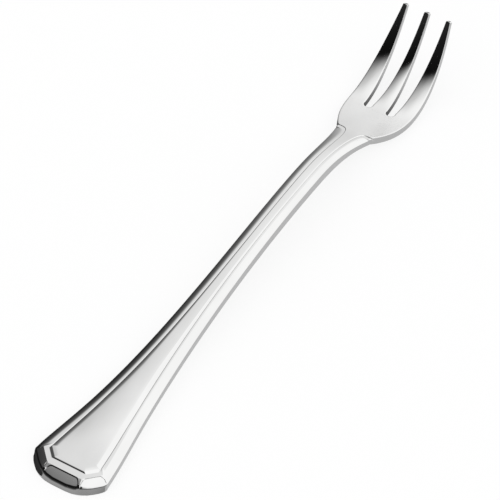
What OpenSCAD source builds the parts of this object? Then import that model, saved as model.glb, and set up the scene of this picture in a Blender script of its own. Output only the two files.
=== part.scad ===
// Oyster fork with three tines, struck from one piece of polished stainless steel.
// It lies along Y with its tines towards +Y, hollow side up, centred on X and Y.
// It rests on the flat under the end of the handle and on the belly under the tine roots.
// Stations run from 0 at the end of the handle to the tips, and heights are measured
// square to the underside, which arches up at the neck and curls up along the tines.

/* [Lengths] */
// Handle, from its end to the start of the neck
handle_len = 62.4; // [52:0.2:80]
// Neck, from the handle to the shoulders of the head
neck_len = 55.3; // [46:0.2:65]
// Head, from the shoulders to the belly, where the tines start
head_len = 12.8; // [10:0.1:16]
// Tines, from the belly to the tips
tine_len = 20.1; // [16:0.1:25]

/* [Handle outline] */
// Width across the corners of the end
end_w = 18.2; // [15:0.1:22]
// Width of the straight edge in the middle of the end
end_flat_w = 10; // [8:0.1:12]
// Length that the cut corners of the end take
end_cut = 4.1; // [3.2:0.1:5]
// Angle at which the sides draw in from the end
end_taper = 5.7; // [2:0.1:9]
// Width of the grip
grip_w = 12.4; // [10.5:0.1:14]
// Distance from the end to the grip
grip_at = 23.6; // [19:0.1:28]
// Angle at which the sides draw in at the grip
grip_taper = 7.7; // [4:0.1:10]

/* [Neck and head outline] */
// Width of the neck at its waist
neck_w = 5.84; // [5.2:0.02:8]
// Distance from the shoulders back to the waist, which is also the top of the arch
waist_back = 22.2; // [18:0.1:28]
// Width across the inner corners of the shoulders
shoulder_w = 8.9; // [7.4:0.1:10.4]
// Angle at which the neck opens at the shoulders
neck_flare = 13.5; // [8:0.5:18]
// Angle at which the head opens from the shoulders
head_flare = 34.5; // [26:0.5:40]
// Greatest width across the outer tines
head_w = 16; // [14.5:0.1:18]
// Distance from the belly to the greatest width
head_wide_at = 2.9; // [1:0.1:5]
// Width across the tips of the outer tines
tip_span = 12.3; // [11:0.1:14]
// Angle at which the outer tines draw in at their tips
tip_taper = 13.5; // [6:0.5:16]

/* [Slots and tips] */
// Width of a slot at its root
slot_w = 2.15; // [1.6:0.05:2.6]
// Distance that the slots reach into the head
slot_depth = 2.45; // [1.6:0.05:3.5]
// Width of the middle tine at its root
middle_root_w = 3.65; // [3.1:0.05:4.3]
// Width of the middle tine at its tip
middle_tip_w = 1.25; // [0.9:0.05:1.8]
// Width of an outer tine at its tip
outer_tip_w = 1.05; // [0.8:0.05:1.6]

/* [Side view] */
// Length of the flat under the end of the handle
flat_len = 11; // [8:0.5:16]
// Height of the underside at the waist
arch_h = 5.4; // [3.5:0.01:8]
// Distance from the shoulders back to where the neck dips steepest
dip_back = 3.2; // [1:0.1:6]
// Height of the underside at that dip
dip_h = 3.1; // [2:0.05:4]
// Angle of that dip
dip_angle = 15.7; // [9:0.1:18]
// Height of the underside at the tips
tip_h = 14.9; // [9:0.1:18]

/* [Thickness] */
// Height of the side wall along the handle
wall_h = 1.85; // [1.5:0.05:2.4]
// Height of the bevel above the side wall
bevel_h = 0.7; // [0.4:0.05:0.9]
// Height of the step from the rim up to the panel
step_h = 0.25; // [0.1:0.01:0.4]
// Rise of the panel in its middle
crown_h = 0.12; // [0.02:0.01:0.3]
// Thickness of the head
head_t = 1.75; // [1.4:0.05:2.2]
// Length over which the neck thins to the head
thin_len = 18; // [10:0.5:20]
// Thickness of the tines at their tips
tip_t = 1.2; // [0.8:0.05:1.5]
// Rounding of the lower edges
lower_edge = 0.3; // [0.15:0.05:0.5]

/* [Border] */
// Width of the bevel beside the grip end of the handle
bevel_w = 1.55; // [1.1:0.05:2]
// Width of the bevel along the neck
neck_bevel_w = 1.15; // [0.8:0.05:1.4]
// Width of the rim between the bevel and the panel, from the grip on
rim_w = 0.9; // [0.6:0.05:1.05]
// Width of the rim beside the end of the panel
rim_end_w = 1.4; // [1:0.05:1.6]
// Width of the slope of the step
step_w = 0.16; // [0.08:0.01:0.25]

/* [End of the handle] */
// Width of the bevel in the middle of the end
end_bevel_w = 2.3; // [1.8:0.05:2.6]
// Drop of that bevel from the rim to the wall
end_bevel_h = 1.4; // [0.8:0.05:1.5]
// Width of the bevels at the cut corners
cut_bevel_w = 1.85; // [1.4:0.05:2.1]
// Drop of those bevels from the rim to the wall
cut_bevel_h = 0.95; // [0.5:0.05:1.2]
// Depth of the facets let into the end's bevels
facet_sink = 0.1; // [0.05:0.01:0.15]
// Rounding of the inner corners of the facets
facet_round = 0.8; // [0.3:0.05:1]
// Width of the ridges between the facets
ridge_w = 0.65; // [0.4:0.05:1.2]
// Width of the rim in the middle of the end
end_rim_w = 1.7; // [1:0.05:1.9]
// Width of the rim at the cut corners
corner_rim_w = 1.1; // [0.8:0.05:1.4]
// Width of the slope of the step at the cut corners
corner_step_w = 0.55; // [0.3:0.05:0.8]
// Lean of the wall in the middle of the end, up to the bevel
end_lean = 0.55; // [0.2:0.05:0.9]
// Lean of the wall at the cut corners, up to the bevels
cut_lean = 0.7; // [0.2:0.05:0.9]
// Rounding of the end's corners along the wall, which bows the end
bow_round = 8; // [2:0.1:9]
// Rounding of the cut corners into the long sides along the lower edge
side_round = 2.6; // [1:0.1:4]
// Rounding of the end's corners along the rim
rim_round = 0.5; // [0.2:0.1:0.7]

/* [Hidden] */

// Steps along each stretch
handle_steps = 22;
neck_steps = 18;
runout_steps = 16;
head_steps = 14;
tine_steps = 16;
// Width left between the border lines where they run out at the shoulders
line_gap = 0.03;
// Stretch before the shoulders in which the border lines hook outwards
hook_len = 8;
// Power of the rounded hook
hook_power = 5;
// Distance by which the rim's line runs out before the panel's
rim_lead = 1.1;
// Length over which an edge or the crown grows to its full size
ease_len = 5;
// Step used to read a slope
slope_step = 0.01;
// Steps round a corner of the end
corner_steps = 4;
// Rounding of the corners where the cut corners meet the long sides, and of the panel
crisp_round = 0.3;
// Length of the first stretch of the long sides after the cut corners
bevel_start = 0.12;
// Ridge left between a cut corner's facet and the long bevel
side_ridge = 0.1;
// Length by which a facet's cut runs out past the wall, and its height
cut_over = 1.5;
// Steps of a full turn, for the round roots of the slots and the corners of the facets
round_fn = 48;

// Stations
neck_from = handle_len;
shoulder_at = neck_from + neck_len;
waist_at = shoulder_at - waist_back;
belly_at = shoulder_at + head_len;
tip_at = belly_at + tine_len;
origin_at = tip_at / 2;

// Knots are [station, value, slope]
handle_sides = [
    [end_cut, end_w / 2, -tan(end_taper)],
    [grip_at, grip_w / 2, -tan(grip_taper)],
    [waist_at, neck_w / 2, 0],
    [shoulder_at, shoulder_w / 2, tan(neck_flare)],
];
head_sides = [
    [shoulder_at, shoulder_w / 2, tan(head_flare)],
    [belly_at + head_wide_at, head_w / 2, 0],
    [tip_at, tip_span / 2, -tan(tip_taper)],
];
underside = [
    [flat_len, 0, 0],
    [waist_at, arch_h, 0],
    [shoulder_at - dip_back, dip_h, -tan(dip_angle)],
    [belly_at, 0, 0],
    [tip_at, tip_h, 2 * tip_h / tine_len],
];
plate_t = wall_h + bevel_h + step_h;
thickness = [
    [shoulder_at - thin_len, plate_t, 0],
    [shoulder_at, head_t, 0],
    [belly_at, head_t, 0],
    [tip_at, tip_t, 0],
];

// Smooth curve through knots, level before the first one
function curve(a, b, s) =
    let (
        span = b[0] - a[0],
        t = (s - a[0]) / span,
        rise = t * t * (3 - 2 * t)
    )
    a[1] * (1 - rise) + b[1] * rise
        + span * t * (1 - t) * (a[2] * (1 - t) - b[2] * t);
function along(knots, s, i = 0) =
    s <= knots[0][0] ? knots[0][1]
    : i + 2 >= len(knots) || s <= knots[i + 1][0] ? curve(knots[i], knots[i + 1], s)
    : along(knots, s, i + 1);

function half_w(s) = s < shoulder_at ? along(handle_sides, s) : along(head_sides, s);
function slope_at(s) =
    (along(underside, s + slope_step) - along(underside, s - slope_step)) / (2 * slope_step);

// Point at x across, station s and height h square to the underside
function place(x, s, h) =
    let (lean = atan(slope_at(s)))
    [x, s - origin_at - h * sin(lean), along(underside, s) + h * cos(lean)];

// Border lines: a fixed inset up to the waist, then nearly straight with a hook at the end
function bevel_at(s) =
    let (t = (s - grip_at) / (waist_at - grip_at))
    bevel_w + (neck_bevel_w - bevel_w) * max(0, min(1, t));
function rim_at(s) =
    let (t = (grip_at - s) / (grip_at - panel_corner[1]))
    rim_w + (rim_end_w - rim_w) * max(0, min(1, t));
function hook(t) = t >= 1 ? 1 : 1 - pow(1 - pow(t, hook_power), 1 / hook_power);
function border_line(s, inset, neck_inset, end_at, gap) =
    s <= waist_at ? half_w(s) - inset
    : let (from = neck_w / 2 - neck_inset)
      min(from + (half_w(end_at) - from) * hook((s - waist_at) / (end_at - waist_at)), half_w(s) - gap);
function rim_line(s) =
    border_line(s, bevel_at(s), neck_bevel_w, shoulder_at - rim_lead, line_gap);
function panel_line(s) =
    border_line(s, bevel_at(s) + rim_at(s), neck_bevel_w + rim_w, shoulder_at, 3 * line_gap);
function step_line(s) = min(panel_line(s) + step_w, rim_line(s) - line_gap);

// Growth of the crown from the end of the panel and its fading at the shoulders
function crown_at(s) =
    crown_h * max(0, min(1, (s - panel_corner[1]) / ease_len, (shoulder_at - s) / ease_len));

// Heights of the profile from the underside up to the panel
function profile_h(s) =
    let (top = along(thickness, s))
    [0, lower_edge, top - step_h - bevel_h, top - step_h, top - step_h, top];
// Places of the same points across the handle and neck
function profile_x(s) =
    let (w = half_w(s))
    [w - lower_edge, w, w, rim_line(s), step_line(s), panel_line(s)];

// The end has three straight edges: one across and two cut corners
cut_angle = atan2(end_cut, (end_w - end_flat_w) / 2);
side_angle = 90 + end_taper;
side_turn = side_angle - cut_angle;
cut_len = norm([(end_w - end_flat_w) / 2, end_cut]);
rim_h = wall_h + bevel_h;
end_in = end_lean + end_bevel_w;
cut_in = cut_lean + cut_bevel_w;
// Insets of the profile's points from the middle edge, the cut corners and the long sides
end_insets = [
    lower_edge,
    0,
    end_lean,
    end_in,
    end_in + end_rim_w - step_w,
    end_in + end_rim_w,
];
cut_insets = [
    lower_edge,
    0,
    cut_lean,
    cut_in,
    cut_in + corner_rim_w,
    cut_in + corner_rim_w + corner_step_w,
];
side_insets = [lower_edge, 0, 0, bevel_w, bevel_w + rim_end_w - step_w, bevel_w + rim_end_w];
// Roundings of the same points at the corners of the middle edge and of the long sides
low_bow = min(bow_round, min(cut_len * 0.55, end_flat_w * 0.45) / tan(cut_angle / 2));
low_side = min(side_round, cut_len * 0.4 / tan(side_turn / 2));
end_rounds = [low_bow, low_bow, low_bow, rim_round, crisp_round, crisp_round];
side_rounds = [low_side, low_side, crisp_round, crisp_round, crisp_round, crisp_round];
// Corner between the middle edge moved in by d and a cut corner moved in by c
function flat_corner(d, c) = [end_flat_w / 2 + (d * cos(cut_angle) - c) / sin(cut_angle), d];
// Corner between a cut corner moved in by c and the long side moved in by e
function side_corner(c, e) =
    let (
        draw = tan(end_taper),
        reach = end_w / 2 + draw * end_cut - e,
        s = (c + sin(cut_angle) * (reach - end_flat_w / 2))
            / (cos(cut_angle) + draw * sin(cut_angle))
    )
    [reach - draw * s, s];
panel_corner = side_corner(cut_insets[5], side_insets[5]);
// Point at share t of the rounding r of a corner, which turns from one direction by an angle
function rounded(corner, from, turn, r, t) =
    let (ahead = [cos(from), sin(from)], inward = [-sin(from), cos(from)], to = from + t * turn)
    corner - r * tan(turn / 2) * ahead + r * inward + r * [sin(to), -cos(to)];
function flat_row(t) =
    [for (k = [0 : 5]) rounded(flat_corner(end_insets[k], cut_insets[k]), 0, cut_angle, end_rounds[k], t)];
function side_row(t) =
    [for (k = [0 : 5])
        rounded(
            side_corner(cut_insets[k], side_insets[k]),
            cut_angle,
            side_turn,
            side_rounds[k],
            t
        )];
// Height of the bevels round the end at a point in plan: the lowest of the three that meet there
function bevel_foot(p) =
    let (
        from_end = p[1],
        from_cut = p[1] * cos(cut_angle) - (p[0] - end_flat_w / 2) * sin(cut_angle),
        from_side = end_w / 2 + tan(end_taper) * (end_cut - p[1]) - p[0]
    )
    rim_h - max(
        end_bevel_h * (end_in - from_end) / end_bevel_w,
        cut_bevel_h * (cut_in - from_cut) / cut_bevel_w,
        bevel_h * (bevel_w - from_side) / bevel_w
    );
function past_corner(row) = [for (p = row) p + bevel_start * [cos(side_angle), sin(side_angle)]];

// Ring of points round a section, from the lower right edge over the top to the lower left
function mirrored(half) =
    concat(half, [for (i = [len(half) - 2 : -1 : 0]) [-half[i][0], half[i][1], half[i][2]]]);
function crowned(row, hs, crown_s, crown) =
    mirrored(concat(
        [for (k = [0 : 5]) place(row[k][0], row[k][1], hs[k])],
        [place(row[5][0] / 2, crown_s, hs[5] + crown * 3 / 4), place(0, crown_s, hs[5] + crown)]
    ));
function handle_ring(s) = crowned([for (x = profile_x(s)) [x, s]], profile_h(s), s, crown_at(s));
function plain_ring(s, x0, x1, edge0, edge1) =
    let (t = along(thickness, s))
    [
        place(x1 - edge1, s, 0),
        place(x1, s, edge1),
        place(x1, s, t),
        place(x0, s, t),
        place(x0, s, edge0),
        place(x0 + edge0, s, 0),
    ];

// Skin between rings of n points, with flat faces at the ends of a closed one
function skin(rings, n) = [
    for (j = [0 : rings - 2], i = [0 : n - 1])
        let (a = j * n + i, b = j * n + (i + 1) % n)
        each [[a, b, b + n], [a, b + n, a + n]],
];
function front_face(n) = [for (i = [n - 1 : -1 : 0]) i];
function back_face(rings, n) = [for (i = [0 : n - 1]) (rings - 1) * n + i];
// Faces of the end: strips from the right corner to the left one, up to the panel
function end_faces(n) = concat(
    [for (k = [0 : 3]) each [[k, n - 1 - k, n - 2 - k], [k, n - 2 - k, k + 1]]],
    [concat([4, n - 5], [for (i = [n - 6 : -1 : 5]) i])]
);

module loft(rings) {
    n = len(rings[0]);
    polyhedron(
        [for (r = rings) each r],
        concat(skin(len(rings), n), [front_face(n)], [back_face(len(rings), n)])
    );
}

// Rings round the end, from the middle edge over the cut corners to the long sides
function end_rings(first) =
    let (
        shares = [for (i = [0 : corner_steps]) i / corner_steps],
        rows = concat(
            [for (t = shares) flat_row(t)],
            [for (t = shares) side_row(t)],
            [past_corner(side_row(1))]
        ),
        last = len(rows) - 1,
        h = profile_h(0)
    )
    [for (i = [0 : last])
        crowned(
            rows[i],
            [h[0], h[1], bevel_foot(rows[i][2]), h[3], h[4], h[5]],
            end_insets[5] + (first - end_insets[5]) * i / (last + 1),
            0
        )];

// Facet between its outer corners a and b, with the inner corners c beside b and d beside a
module facet_cut(a, b, c, d, ridge_a, ridge_b, width, drop) {
    edge = norm(b - a);
    ahead = (b - a) / edge;
    slope = atan2(drop, width);
    run = width / cos(slope);
    lead_a = (d - a) * ahead;
    lead_b = (c - b) * ahead;
    translate([a[0], a[1] - origin_at, rim_h - drop - facet_sink])
        rotate([slope, 0, atan2(ahead[1], ahead[0])])
            linear_extrude(cut_over)
                offset(r = facet_round, $fn = round_fn)
                    offset(delta = -facet_round)
                        polygon([
                            [ridge_a - lead_a * cut_over / run, -cut_over],
                            [edge - ridge_b - lead_b * cut_over / run, -cut_over],
                            [edge - ridge_b + lead_b, run],
                            [ridge_a + lead_a, run],
                        ]);
}

module end_facets() {
    outer = flat_corner(end_lean, cut_lean);
    inner = flat_corner(end_in, cut_in);
    ridge = ridge_w / 2 / cos(cut_angle / 2);
    facet_cut(
        [-outer[0], outer[1]],
        outer,
        inner,
        [-inner[0], inner[1]],
        ridge,
        ridge,
        end_bevel_w,
        end_bevel_h
    );
    for (side = [0, 1])
        mirror([side, 0, 0])
            facet_cut(
                outer,
                side_corner(cut_lean, 0),
                side_corner(cut_in, bevel_w),
                inner,
                ridge,
                side_ridge,
                cut_bevel_w,
                cut_bevel_h
            );
}

module handle() {
    first = panel_corner[1] + 2 * crisp_round;
    stations = [for (i = [0 : handle_steps]) first + (neck_from - first) * i / handle_steps];
    rings = concat(end_rings(first), [for (s = stations) handle_ring(s)]);
    n = len(rings[0]);
    color("silver")
        difference() {
            polyhedron(
                [for (r = rings) each r],
                concat(skin(len(rings), n), end_faces(n), [back_face(len(rings), n)])
            );
            end_facets();
        }
}

module neck() {
    hook_from = shoulder_at - hook_len;
    stations = concat(
        [for (i = [0 : neck_steps - 1]) neck_from + (hook_from - neck_from) * i / neck_steps],
        [for (i = [0 : runout_steps]) shoulder_at - hook_len * pow(1 - i / runout_steps, 2)]
    );
    color("silver")
        loft([for (s = stations) handle_ring(s)]);
}

module head() {
    stations = [for (i = [0 : head_steps]) shoulder_at + head_len * i / head_steps];
    color("silver")
        difference() {
            loft([for (s = stations) plain_ring(s, -half_w(s), half_w(s), lower_edge, lower_edge)]);
            for (side = [-1, 1]) slot_root(side);
        }
}

// Round root of a slot, open towards the tines
module slot_root(side) {
    middle = (middle_root_w + slot_w) / 2;
    translate([side * middle, belly_at - slot_depth + slot_w / 2 - origin_at, -head_t])
        linear_extrude(4 * head_t) {
            circle(d = slot_w, $fn = round_fn);
            translate([-slot_w / 2, 0])
                square([slot_w, slot_depth]);
        }
}

// Shares of a tine's length, and edge roundings that grow from its root
function tine_share(s) = (s - belly_at) / tine_len;
function eased(s) = lower_edge * min(1, (s - belly_at) / ease_len) * min(1, along(thickness, s) / head_t);
function middle_edge(s) = (middle_root_w + (middle_tip_w - middle_root_w) * tine_share(s)) / 2;
function outer_edge(s) =
    let (
        root = middle_root_w / 2 + slot_w,
        tip = tip_span / 2 - outer_tip_w
    )
    root + (tip - root) * tine_share(s);
function tine_stations() = [for (i = [0 : tine_steps]) belly_at + tine_len * i / tine_steps];

module tine_middle() {
    color("silver")
        loft([for (s = tine_stations())
            plain_ring(s, -middle_edge(s), middle_edge(s), eased(s), eased(s))]);
}

module tine_right() {
    color("silver")
        loft([for (s = tine_stations()) plain_ring(s, outer_edge(s), half_w(s), eased(s), lower_edge)]);
}

module tine_left() {
    color("silver")
        mirror([1, 0, 0]) tine_right();
}

handle();
neck();
head();
tine_left();
tine_middle();
tine_right();
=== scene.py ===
import math

import bpy
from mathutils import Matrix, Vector


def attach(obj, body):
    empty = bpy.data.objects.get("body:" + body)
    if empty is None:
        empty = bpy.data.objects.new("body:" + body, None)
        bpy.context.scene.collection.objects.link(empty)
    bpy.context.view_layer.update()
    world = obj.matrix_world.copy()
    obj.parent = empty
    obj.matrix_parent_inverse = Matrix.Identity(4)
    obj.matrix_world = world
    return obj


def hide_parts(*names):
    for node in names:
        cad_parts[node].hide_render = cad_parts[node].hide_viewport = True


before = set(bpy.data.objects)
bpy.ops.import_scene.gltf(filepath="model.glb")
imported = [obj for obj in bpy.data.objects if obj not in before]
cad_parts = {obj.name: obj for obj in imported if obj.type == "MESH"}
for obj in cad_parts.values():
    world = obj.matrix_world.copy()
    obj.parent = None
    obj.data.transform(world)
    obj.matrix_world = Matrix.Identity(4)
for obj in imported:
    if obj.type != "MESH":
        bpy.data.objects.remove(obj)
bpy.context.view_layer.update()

# Sizes of the fork in millimetres. Stations run from the end of the handle to the tips
MM = 0.001
NECK_FROM = 62.4
SHOULDER = 117.7
WAIST = SHOULDER - 22.2
BELLY = SHOULDER + 12.8
TIP = BELLY + 20.1
ORIGIN_AT = TIP / 2

END_W = 18.2
END_FLAT_W = 10.0
END_CUT = 4.1
END_TAPER = math.radians(5.7)
GRIP_W = 12.4
GRIP_AT = 23.6
GRIP_TAPER = math.radians(7.7)
NECK_W = 5.84
SHOULDER_W = 8.9
NECK_FLARE = math.radians(13.5)
HEAD_FLARE = math.radians(34.5)
HEAD_W = 16.0
WIDEST_AT = BELLY + 2.9
TIP_SPAN = 12.3
TIP_TAPER = math.radians(13.5)

SLOT_W = 2.15
SLOT_DEPTH = 2.45
MIDDLE_ROOT_W = 3.65
MIDDLE_TIP_W = 1.25
OUTER_TIP_W = 1.05
TIP_ROUND = 0.3

FLAT_LEN = 11.0
ARCH_H = 5.4
DIP_AT = SHOULDER - 3.2
DIP_H = 3.1
DIP_ANGLE = math.radians(15.7)
TIP_H = 14.9

WALL_H = 1.85
BEVEL_H = 0.7
STEP_H = 0.25
HEAD_T = 1.75
THIN_LEN = 18.0
TIP_T = 1.2
RIM_H = WALL_H + BEVEL_H
PLATE_T = RIM_H + STEP_H

BEVEL_W = 1.55
NECK_BEVEL_W = 1.15
RIM_W = 0.9
RIM_END_W = 1.4
STEP_W = 0.16
END_BEVEL_W = 2.3
END_BEVEL_H = 1.19
CUT_BEVEL_W = 1.85
CUT_BEVEL_H = 0.73
FACET_SINK = 0.1
FACET_WALL_W = 0.05
MIDDLE_WALL_W = 0.2
RIDGE_W = 0.65
SIDE_RIDGE = 0.1
END_RIM_W = 1.84
END_STEP_W = 0.34
CORNER_RIM_W = 1.1
CORNER_STEP_W = 0.6
END_LEAN = 0.55
CUT_LEAN = 0.7
BOW_ROUND = 7.7
SIDE_ROUND = 1.9
SIDE_IN = 0.03
CRISP_ROUND = 0.5
RIM_LEAD = 1.1
LINE_GAP = 0.03
EASE_LEN = 5.0
# Power of the hooks' curve, and a facet's round corner as a share of its bevel's width
HOOK_POWER = 5
FACET_ROUND = 0.4

# Forms that polishing leaves: a crowned panel that rolls off, a dipped rim, full bevels and crowned tines
CROWN_R = 100.0
ROLL_W = 1.5
ROLL_H = 0.16
ROLL_MIDDLE = 0.45
ROLL_MOST = 0.6
END_ROLL_H = 0.03
RIM_DIP = 0.035
CREST_AT = 0.85
BEVEL_MIDDLE = 0.42
TINE_CROWN = 0.08
# Shares that wear takes off the border's height and off the panel's roll
ROLL_WEAR = 0.9
STEP_WEAR = 0.6
GRIP_WEAR = 0.3
NECK_WEAR = 0.25
SHOULDER_WEAR = 0.4
# Stations over which the panel's roll ends and the bevel gets shallower
ROLL_OUT = (SHOULDER - 12.0, SHOULDER - 2.0)
BEVEL_OUT = (SHOULDER - 7.0, SHOULDER)

# Roundings that the polishing leaves on the edges, as lengths set back from each edge
LOWER_EDGE = 0.5
END_LOWER_EDGE = 0.2
WALL_EDGE = 0.14
END_EDGE = 0.5
BEVEL_EDGE = 0.3
FACET_EDGE = 0.03
RIM_EDGE = 0.12
STEP_FOOT = 0.06
STEP_HEAD = 0.1
ROLL_EDGE = 0.6
PLATE_EDGE = 0.33
NO_EDGE = 0.02
# The most that a rounding takes of the stretch beside it, and the points across it
SETBACK_MOST = 0.45
EDGE_POINTS = 4
# How far the border reaches in over the underside and over the head, and its share of a tip's half width
FOOT_IN = 0.7
PLATE_IN = 0.4
TIP_IN = 0.6


# Smooth curves through knots of station, value and slope
def along(knots, s):
    if s <= knots[0][0]:
        return knots[0][1]
    pairs = list(zip(knots, knots[1:]))
    a, b = next((pair for pair in pairs if s <= pair[1][0]), pairs[-1])
    span = b[0] - a[0]
    t = (s - a[0]) / span
    rise = t * t * (3 - 2 * t)
    bend = span * t * (1 - t) * (a[2] * (1 - t) - b[2] * t)
    return a[1] * (1 - rise) + b[1] * rise + bend


HANDLE_SIDES = [
    (END_CUT, END_W / 2, -math.tan(END_TAPER)),
    (GRIP_AT, GRIP_W / 2, -math.tan(GRIP_TAPER)),
    (WAIST, NECK_W / 2, 0),
    (SHOULDER, SHOULDER_W / 2, math.tan(NECK_FLARE)),
]
HEAD_SIDES = [
    (SHOULDER, SHOULDER_W / 2, math.tan(HEAD_FLARE)),
    (WIDEST_AT, HEAD_W / 2, 0),
    (TIP, TIP_SPAN / 2, -math.tan(TIP_TAPER)),
]
UNDERSIDE = [
    (FLAT_LEN, 0, 0),
    (WAIST, ARCH_H, 0),
    (DIP_AT, DIP_H, -math.tan(DIP_ANGLE)),
    (BELLY, 0, 0),
    (TIP, TIP_H, 2 * TIP_H / (TIP - BELLY)),
]
THICKNESS = [
    (SHOULDER - THIN_LEN, PLATE_T, 0),
    (SHOULDER, HEAD_T, 0),
    (BELLY, HEAD_T, 0),
    (TIP, TIP_T, 0),
]


def half_width(s):
    return along(HANDLE_SIDES if s < SHOULDER else HEAD_SIDES, s)


def thickness(s):
    return along(THICKNESS, s)


def lean(s, step=0.01):
    return math.atan((along(UNDERSIDE, s + step) - along(UNDERSIDE, s - step)) / (2 * step))


# A point at x across, station s and height h square to the underside
def place(point):
    x, s, h = point
    a = lean(s)
    y = s - ORIGIN_AT - h * math.sin(a)
    z = along(UNDERSIDE, s) + h * math.cos(a)
    return Vector((x, y, z)) * MM


# How much of a stretch lies before a station, plain and with smooth ends
def share(s, start, end):
    return max(0.0, min(1.0, (s - start) / (end - start)))


def eased(s, start, end):
    t = share(s, start, end)
    return t * t * (3 - 2 * t)


# Border lines along the handle and neck, which hook outwards at the shoulders
def bevel_width(s):
    return BEVEL_W + (NECK_BEVEL_W - BEVEL_W) * share(s, GRIP_AT, WAIST)


def rim_width(s):
    return RIM_END_W + (RIM_W - RIM_END_W) * share(s, PANEL_FROM, GRIP_AT)


def border_line(s, inset, neck_inset, end_at, gap):
    if s <= WAIST:
        return half_width(s) - inset
    start = NECK_W / 2 - neck_inset
    t = share(s, WAIST, end_at)
    hook = 1 - (1 - t**HOOK_POWER) ** (1 / HOOK_POWER)
    return min(start + (half_width(end_at) - start) * hook, half_width(s) - gap)


def rim_line(s):
    return border_line(s, bevel_width(s), NECK_BEVEL_W, SHOULDER - RIM_LEAD, LINE_GAP)


def panel_line(s):
    inset = bevel_width(s) + rim_width(s)
    return border_line(s, inset, NECK_BEVEL_W + RIM_W, SHOULDER, 3 * LINE_GAP)


def step_line(s):
    return min(panel_line(s) + STEP_W * step_share(s), rim_line(s) - LINE_GAP)


# Height of the panel's crown, which fades at both ends
def crown(s):
    grown = eased(s, PANEL_FROM, PANEL_FROM + 2 * EASE_LEN)
    full = panel_line(s) ** 2 / (2 * CROWN_R)
    return full * grown * (1 - eased(s, SHOULDER - 2 * EASE_LEN, SHOULDER - EASE_LEN))


# The panel rolls off towards its edges, and this fades along the neck
def roll(s):
    fade = 1 - ROLL_WEAR * eased(s, GRIP_AT + EASE_LEN, WAIST - 2 * EASE_LEN)
    fade *= 1 - eased(s, *ROLL_OUT)
    width = min(ROLL_W, ROLL_MOST * panel_line(s))
    return PLATE_IN + (width - PLATE_IN) * fade, ROLL_H * fade * width / ROLL_W


# The border is worn lower along the neck, and its bevel gets shallower still at the shoulders
def step_share(s):
    return 1 - STEP_WEAR * eased(s, GRIP_AT + EASE_LEN, WAIST)


def bevel_drop(s):
    grip = GRIP_WEAR * eased(s, GRIP_AT, NECK_FROM)
    neck = NECK_WEAR * eased(s, NECK_FROM - EASE_LEN, WAIST)
    return BEVEL_H * (1 - grip - neck) * (1 - SHOULDER_WEAR * eased(s, *BEVEL_OUT))


# The end of the handle: distances in plan inside its middle edge, its cut corner and its long side
CUT_ANGLE = math.atan2(END_CUT, (END_W - END_FLAT_W) / 2)
SIDE_ANGLE = math.pi / 2 + END_TAPER
# Half of a ridge between two bevels, along either of them, and the places of the rows on it
RIDGE = RIDGE_W / 2 / math.cos(CUT_ANGLE / 2)
RIDGE_TOP = 0.1
RIDGE_EDGE = 0.12


def from_cut(p):
    return p[1] * math.cos(CUT_ANGLE) - (p[0] - END_FLAT_W / 2) * math.sin(CUT_ANGLE)


def from_side(p):
    return END_W / 2 + math.tan(END_TAPER) * (END_CUT - p[1]) - p[0]


# Corners between those edges, moved in by d, c and e
def flat_corner(d, c):
    return (END_FLAT_W / 2 + (d * math.cos(CUT_ANGLE) - c) / math.sin(CUT_ANGLE), d)


def side_corner(c, e):
    draw = math.tan(END_TAPER)
    reach = END_W / 2 + draw * END_CUT - e
    gap = c + math.sin(CUT_ANGLE) * (reach - END_FLAT_W / 2)
    s = gap / (math.cos(CUT_ANGLE) + draw * math.sin(CUT_ANGLE))
    return (reach - draw * s, s)


# Depth of a point inside the end's outline moved in by d, c and e, with its corners rounded
def depth_in(p, d, c, e, bow, side):
    for centre, first, second, r in (
        (flat_corner(d + bow, c + bow), 0, CUT_ANGLE, bow),
        (side_corner(c + side, e + side / math.cos(END_TAPER)), CUT_ANGLE, SIDE_ANGLE, side),
    ):
        x = p[0] - centre[0]
        s = p[1] - centre[1]
        past_first = x * math.cos(first) + s * math.sin(first) > 0
        before_second = x * math.cos(second) + s * math.sin(second) < 0
        if past_first and before_second:
            return r - math.hypot(x, s)
    return min(p[1] - d, from_cut(p) - c, (from_side(p) - e) * math.cos(END_TAPER))


# Length from the panel's corner to the first row straight across, and shares of the rows before that one
START_LEN = 0.6
START_SHARES = [0.06, 0.16, 0.3, 0.5, 0.75]
END_IN = END_LEAN + END_BEVEL_W
CUT_IN = CUT_LEAN + CUT_BEVEL_W
PANEL_END = END_IN + END_RIM_W
PANEL_CUT = CUT_IN + CORNER_RIM_W + CORNER_STEP_W
PANEL_SIDE = BEVEL_W + RIM_END_W
PANEL_FROM = side_corner(PANEL_CUT, PANEL_SIDE)[1]
SIDE_FROM = PANEL_FROM + START_LEN
# Where the bevel of a cut corner meets the long one, as a distance inside the cut corner
SIDE_MEET = CUT_IN - BEVEL_H * CUT_BEVEL_W / CUT_BEVEL_H


# Height of the bevels round the end: the lowest of the three that meet there
def bevel_height(p):
    return RIM_H - max(
        0,
        END_BEVEL_H * (END_IN - p[1]) / END_BEVEL_W,
        CUT_BEVEL_H * (CUT_IN - from_cut(p)) / CUT_BEVEL_W,
        BEVEL_H * (BEVEL_W - from_side(p)) / BEVEL_W,
    )


# Insets from facet to panel, where the facet reaches a share v of the bevel's width
def panel_insets(lean_in, width, panel, step, v, wall=FACET_WALL_W):
    facet = lean_in + v * width
    edge = [facet - wall, facet, lean_in + width + NO_EDGE]
    return edge + [panel - step, panel, panel + ROLL_MIDDLE * ROLL_W, panel + ROLL_W]


def middle_insets(v):
    return panel_insets(END_LEAN, END_BEVEL_W, PANEL_END, END_STEP_W, v, MIDDLE_WALL_W)


def cut_insets(v):
    return panel_insets(CUT_LEAN, CUT_BEVEL_W, PANEL_CUT, CORNER_STEP_W, v)


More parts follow.
